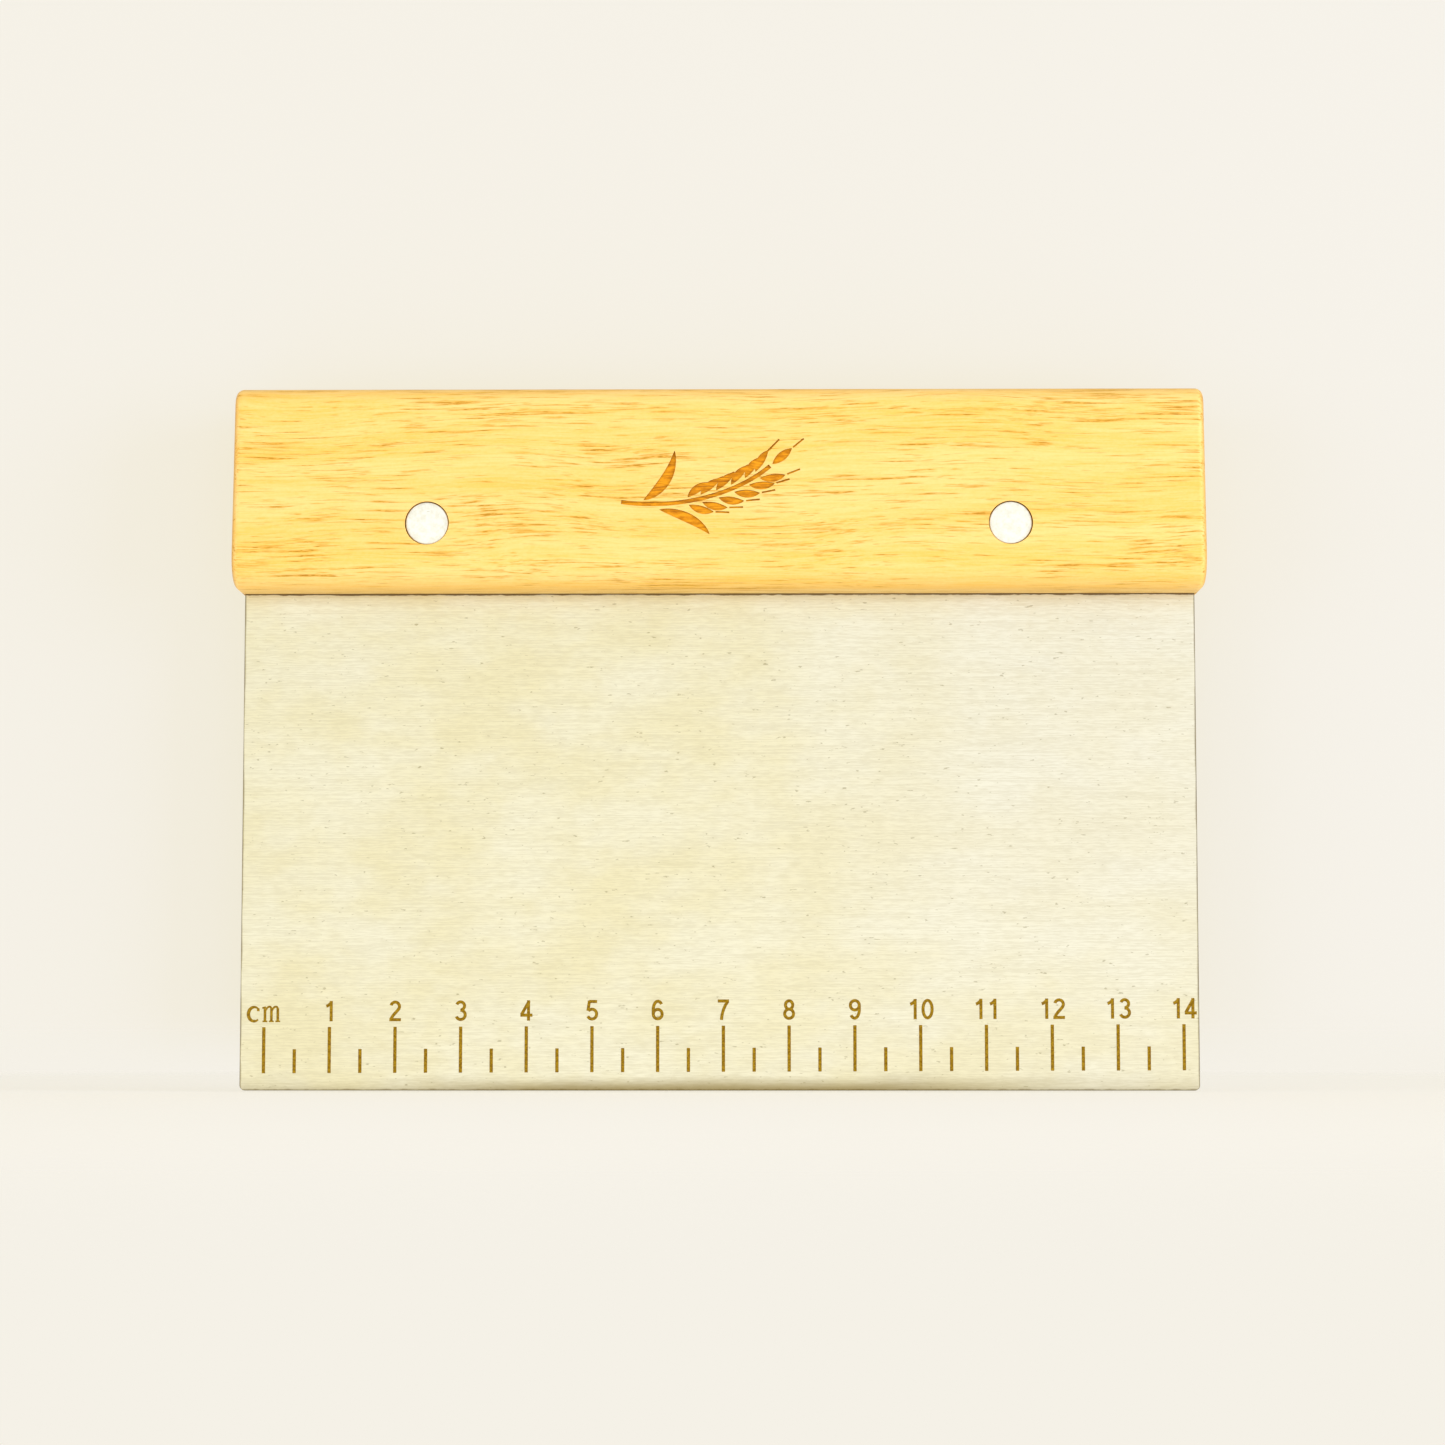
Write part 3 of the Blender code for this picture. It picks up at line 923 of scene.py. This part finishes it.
def brushed_steel(brushed, low, high, seam_z):
    """Stainless sheet, brushed along X, with painted shade towards its bottom edge, on its side faces
    and in a thin dark line along its sides and bottom edge, painted light towards its right and top,
    and darker where it enters the wood.
    """
    material, sheet, shader, position = new_material("brushed_steel")
    parts = sheet.place_group(brushed, Position=position, Pit_Share=0.7)
    axes = sheet.axes(position)
    x, z = axes["X"], axes["Z"]
    # Painted shade: darker towards the bottom edge, most in the middle, standing in for the darker
    # surroundings that the rolled edge reflects.
    drift = sheet.noise(position, (36, 10, 90), detail=2.0)
    reach = sheet.step(drift, 0.30, 0.70, 2.4 * MM, 4.6 * MM)
    edge = sheet.step(z, low.z + 0.15 * MM, reach, 1.0, 0.0)
    middle = sheet.step(sheet.calc("ABSOLUTE", x), 20 * MM, 58 * MM, 1.0, 0.36)
    rim = sheet.calc("MULTIPLY", sheet.calc("MULTIPLY", edge, edge), middle)
    ragged = sheet.noise(position, (2.5, 10, 10), detail=3.0, roughness=0.6)
    seam_start = sheet.step(ragged, 0.3, 0.7, seam_z - 0.34 * MM, seam_z - 0.16 * MM)
    seam = sheet.step(z, seam_start, sheet.calc("ADD", seam_start, 0.12 * MM))
    # Painted shade: the faces turned sideways are darkened.
    normal = sheet.axes(sheet.add("ShaderNodeNewGeometry").outputs["Normal"])
    side = sheet.step(sheet.calc("ABSOLUTE", normal["X"]), 0.2, 0.6)
    # Painted shade: a thin dark line of ragged width along the sides and the bottom edge, standing in
    # for the darker surroundings that the eased edges reflect.
    outline_shade_width = sheet.step(ragged, 0.3, 0.7, 0.20 * MM, 0.42 * MM)
    from_side = sheet.calc("SUBTRACT", high.x, sheet.calc("ABSOLUTE", x))
    from_edge = sheet.calc("SUBTRACT", z, low.z)
    outline = sheet.step(sheet.calc("MINIMUM", from_side, from_edge), 0.0, outline_shade_width, 1.0, 0.0)

    colour = sheet.blend(parts["Blotches"], (0.807, 0.776, 0.600), (0.775, 0.718, 0.470))
    # Painted light: whiter towards the right and towards the top, standing in for the key lamp on the
    # right.
    painted_light_share = sheet.step(x, -10 * MM, 55 * MM, 0.0, 0.5)
    painted_light_share = sheet.calc("MULTIPLY", painted_light_share, sheet.step(z, 8 * MM, 40 * MM, 0.4, 1.0))
    colour = sheet.blend(painted_light_share, colour, (0.80, 0.785, 0.72))
    colour = sheet.blend(sheet.step(parts["Lines"], 0, 1, 0.0, 0.24), colour, (0.50, 0.44, 0.27))
    colour = sheet.tint(colour, parts["Pits"], 0.45, (0.30, 0.25, 0.12))
    # Painted shade towards the bottom edge.
    colour = sheet.tint(colour, rim, 0.85, (0.30, 0.225, 0.080))
    # Painted shade in a thin line along the sides and the bottom edge.
    colour = sheet.tint(colour, outline, 0.9, (0.15, 0.10, 0.02))
    # Painted shade on the side faces.
    colour = sheet.tint(colour, side, 0.75, (0.16, 0.11, 0.045))
    colour = sheet.tint(colour, seam, 0.85, (0.16, 0.09, 0.02))
    sheet.put(shader.inputs["Base Color"], colour)
    shader.inputs["Metallic"].default_value = 1.0
    shader.inputs["Anisotropic"].default_value = 0.4
    shader.inputs["Anisotropic Rotation"].default_value = 0.25
    rough = sheet.step(parts["Lines"], 0, 1, 0.30, 0.42)
    rough = sheet.calc("ADD", rough, sheet.calc("MULTIPLY", parts["Pits"], 0.2))
    sheet.put(shader.inputs["Roughness"], rough)
    tangent = sheet.add("ShaderNodeTangent", direction_type="RADIAL", axis="Z")
    sheet.put(shader.inputs["Tangent"], tangent.outputs[0])
    bump(sheet, shader, parts["Height"], 0.015 * MM, 0.4)
    return material


def laser_mark(brushed):
    """Steel browned by the laser, with the brush lines still showing."""
    material, sheet, shader, position = new_material("laser_mark")
    parts = sheet.place_group(brushed, Position=position, Pit_Share=0.3)
    pulses = sheet.noise(position, (0.45, 0.45, 0.30), detail=2.0, roughness=0.6)
    colour = sheet.blend(sheet.step(pulses, 0.38, 0.64), (0.18, 0.088, 0.001), (0.34, 0.20, 0.008))
    colour = sheet.tint(colour, parts["Lines"], 0.18, (0.42, 0.30, 0.04))
    sheet.put(shader.inputs["Base Color"], colour)
    shader.inputs["Metallic"].default_value = 0.3
    shader.inputs["Specular IOR Level"].default_value = 0.1
    sheet.put(shader.inputs["Roughness"], sheet.step(pulses, 0.3, 0.7, 0.6, 0.8))
    bump(sheet, shader, pulses, 0.01 * MM, 0.4)
    return material


def rivet_aluminium(brushed):
    """Soft bright aluminium with fine marks from driving and sanding."""
    material, sheet, shader, position = new_material("rivet_aluminium")
    parts = sheet.place_group(brushed, Position=position, Pit_Share=0.5)
    dents = sheet.noise(position, (0.7, 0.7, 0.7), detail=3.0, roughness=0.6)
    colour = sheet.blend(sheet.step(dents, 0.35, 0.7), (0.90, 0.895, 0.82), (0.80, 0.79, 0.68))
    colour = sheet.tint(colour, parts["Pits"], 0.5, (0.5, 0.47, 0.36))
    sheet.put(shader.inputs["Base Color"], colour)
    shader.inputs["Metallic"].default_value = 1.0
    sheet.put(shader.inputs["Roughness"], sheet.step(parts["Lines"], 0, 1, 0.34, 0.46))
    bump(sheet, shader, sheet.calc("ADD", parts["Height"], dents), 0.02 * MM, 0.4)
    return material


# ---------------------------------------------------------------- surroundings


def aim(thing, target):
    """Turns a camera or a lamp towards a point."""
    direction = Vector(target) - thing.location
    thing.rotation_euler = direction.to_track_quat("-Z", "Y").to_euler()


def add_camera():
    """The camera, a little below the middle of the scraper and looking slightly up."""
    back = Vector(
        (
            math.sin(CAMERA_AZIMUTH) * math.cos(CAMERA_ELEVATION),
            -math.cos(CAMERA_AZIMUTH) * math.cos(CAMERA_ELEVATION),
            math.sin(CAMERA_ELEVATION),
        )
    )
    place = Vector(CAMERA_TARGET) + back * CAMERA_DISTANCE
    bpy.ops.object.camera_add(location=place)
    camera = bpy.context.object
    camera.data.lens = CAMERA_LENS
    camera.data.clip_start = 0.01
    aim(camera, CAMERA_TARGET)
    bpy.context.scene.camera = camera


def add_lamp(name, place, size, watts, colour):
    """A square soft light aimed at the scraper's middle."""
    bpy.ops.object.light_add(type="AREA", location=place)
    lamp = bpy.context.object
    lamp.name = name
    lamp.data.shape = "SQUARE"
    lamp.data.size = size
    lamp.data.energy = watts
    lamp.data.color = colour
    aim(lamp, LAMP_TARGET)


def add_world():
    """A plain pale background, and soft light from all round, a little stronger from below."""
    world = bpy.data.worlds.new("studio")
    bpy.context.scene.world = world
    world.use_nodes = True
    sheet = Sheet(world.node_tree)
    world.node_tree.nodes.clear()
    seen = sheet.add("ShaderNodeBackground")
    seen.inputs["Color"].default_value = (*BACKGROUND, 1)
    lit = sheet.add("ShaderNodeBackground")
    lit.inputs["Color"].default_value = (*WORLD_LIGHT, 1)
    direction = sheet.axes(sheet.add("ShaderNodeTexCoord").outputs["Generated"])
    strength = sheet.step(
        direction["Z"], -0.75, 0.1, WORLD_STRENGTH_BELOW, WORLD_STRENGTH_ABOVE
    )
    sheet.put(lit.inputs["Strength"], strength)
    choice = sheet.add("ShaderNodeMixShader")
    rays = sheet.add("ShaderNodeLightPath")
    sheet.put(choice.inputs[0], rays.outputs["Is Camera Ray"])
    sheet.put(choice.inputs[1], lit.outputs[0])
    sheet.put(choice.inputs[2], seen.outputs[0])
    output = sheet.add("ShaderNodeOutputWorld")
    sheet.put(output.inputs["Surface"], choice.outputs[0])


def stage_paint(name, diffuse, glow, reach):
    """A pale paint that only the camera sees, as (material, sheet, shader, its Alpha so far).

    Its glow keeps the shadows on it faint and warm, and it fades out at the end of its reach.
    """
    material, sheet, shader, position = new_material(name)
    shader.inputs["Base Color"].default_value = (*diffuse, 1)
    shader.inputs["Roughness"].default_value = 0.9
    shader.inputs["Specular IOR Level"].default_value = 0.0
    shader.inputs["Emission Color"].default_value = (*glow, 1)
    shader.inputs["Emission Strength"].default_value = 1.0
    seen = sheet.add("ShaderNodeLightPath").outputs["Is Camera Ray"]
    length = sheet.add("ShaderNodeVectorMath", operation="LENGTH")
    sheet.put(length.inputs[0], position)
    inside = sheet.step(length.outputs["Value"], 0.55 * reach, 0.95 * reach, 1.0, 0.0)
    return material, sheet, shader, sheet.calc("MULTIPLY", seen, inside)


def floor_paint(reach):
    """Paint of the floor."""
    material, sheet, shader, alpha = stage_paint("floor_paint", FLOOR_DIFFUSE, FLOOR_GLOW, reach)
    sheet.put(shader.inputs["Alpha"], alpha)
    return material


def wall_paint(reach):
    """Paint of the wall, which is seen only from its front and fades just above the floor."""
    material, sheet, shader, alpha = stage_paint("wall_paint", WALL_DIFFUSE, WALL_GLOW, reach)
    geometry = sheet.add("ShaderNodeNewGeometry")
    place = sheet.axes(geometry.outputs["Position"])
    above = sheet.step(place["Z"], 1 * MM, 14 * MM)
    front = sheet.calc("SUBTRACT", 1.0, geometry.outputs["Backfacing"])
    alpha = sheet.calc("MULTIPLY", alpha, sheet.calc("MULTIPLY", above, front))
    sheet.put(shader.inputs["Alpha"], alpha)
    return material


def add_stage(name, radius, place, turn, paint):
    """A flat round surface behind or under the scraper."""
    bpy.ops.object.select_all(action="DESELECT")
    bpy.ops.mesh.primitive_circle_add(
        vertices=ROUND_SIDES, radius=radius, fill_type="NGON", location=place, rotation=turn
    )
    surface = bpy.context.object
    surface.name = name
    surface.data.materials.append(paint(radius))


def main():
    """The scraper and its surroundings."""
    grain = wood_grain_group()
    brushed = brushed_group()
    rivet_nodes = {
        side: (f"{side}_rivet_pin", f"{side}_rivet_sleeve") for side in ("left", "right")
    }
    places = []
    for pin, _ in rivet_nodes.values():
        low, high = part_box(pin)
        places.append(Vector(((low.x + high.x) / 2, 0, (low.z + high.z) / 2)))
    head_radius = (high.x - low.x) / 2
    head_face = -low.y
    wood = (oiled_wood(grain), sawn_wood(grain), burnt_wood(grain))
    build_handle(wood, places, head_radius, head_face)
    front_y = build_blade(brushed_steel(brushed, *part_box("blade"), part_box("handle")[0].z), places)
    mark = laser_mark(brushed)
    build_ticks(front_y, mark)
    build_figures(front_y, mark)
    aluminium = rivet_aluminium(brushed)
    for side, (pin, sleeve) in rivet_nodes.items():
        build_rivet_half(f"{side}_rivet_front_half", pin, aluminium, hollow=False)
        build_rivet_half(f"{side}_rivet_back_half", sleeve, aluminium, hollow=True)
    add_camera()
    add_world()
    for name, lamp in LAMPS.items():
        add_lamp(name, *lamp)
    add_stage("floor", FLOOR_RADIUS, FLOOR_PLACE, (0, 0, 0), floor_paint)
    add_stage("wall", WALL_RADIUS, WALL_PLACE, (math.pi / 2, 0, 0), wall_paint)
    view = bpy.context.scene.view_settings
    view.view_transform = "Standard"
    view.look = "None"


main()
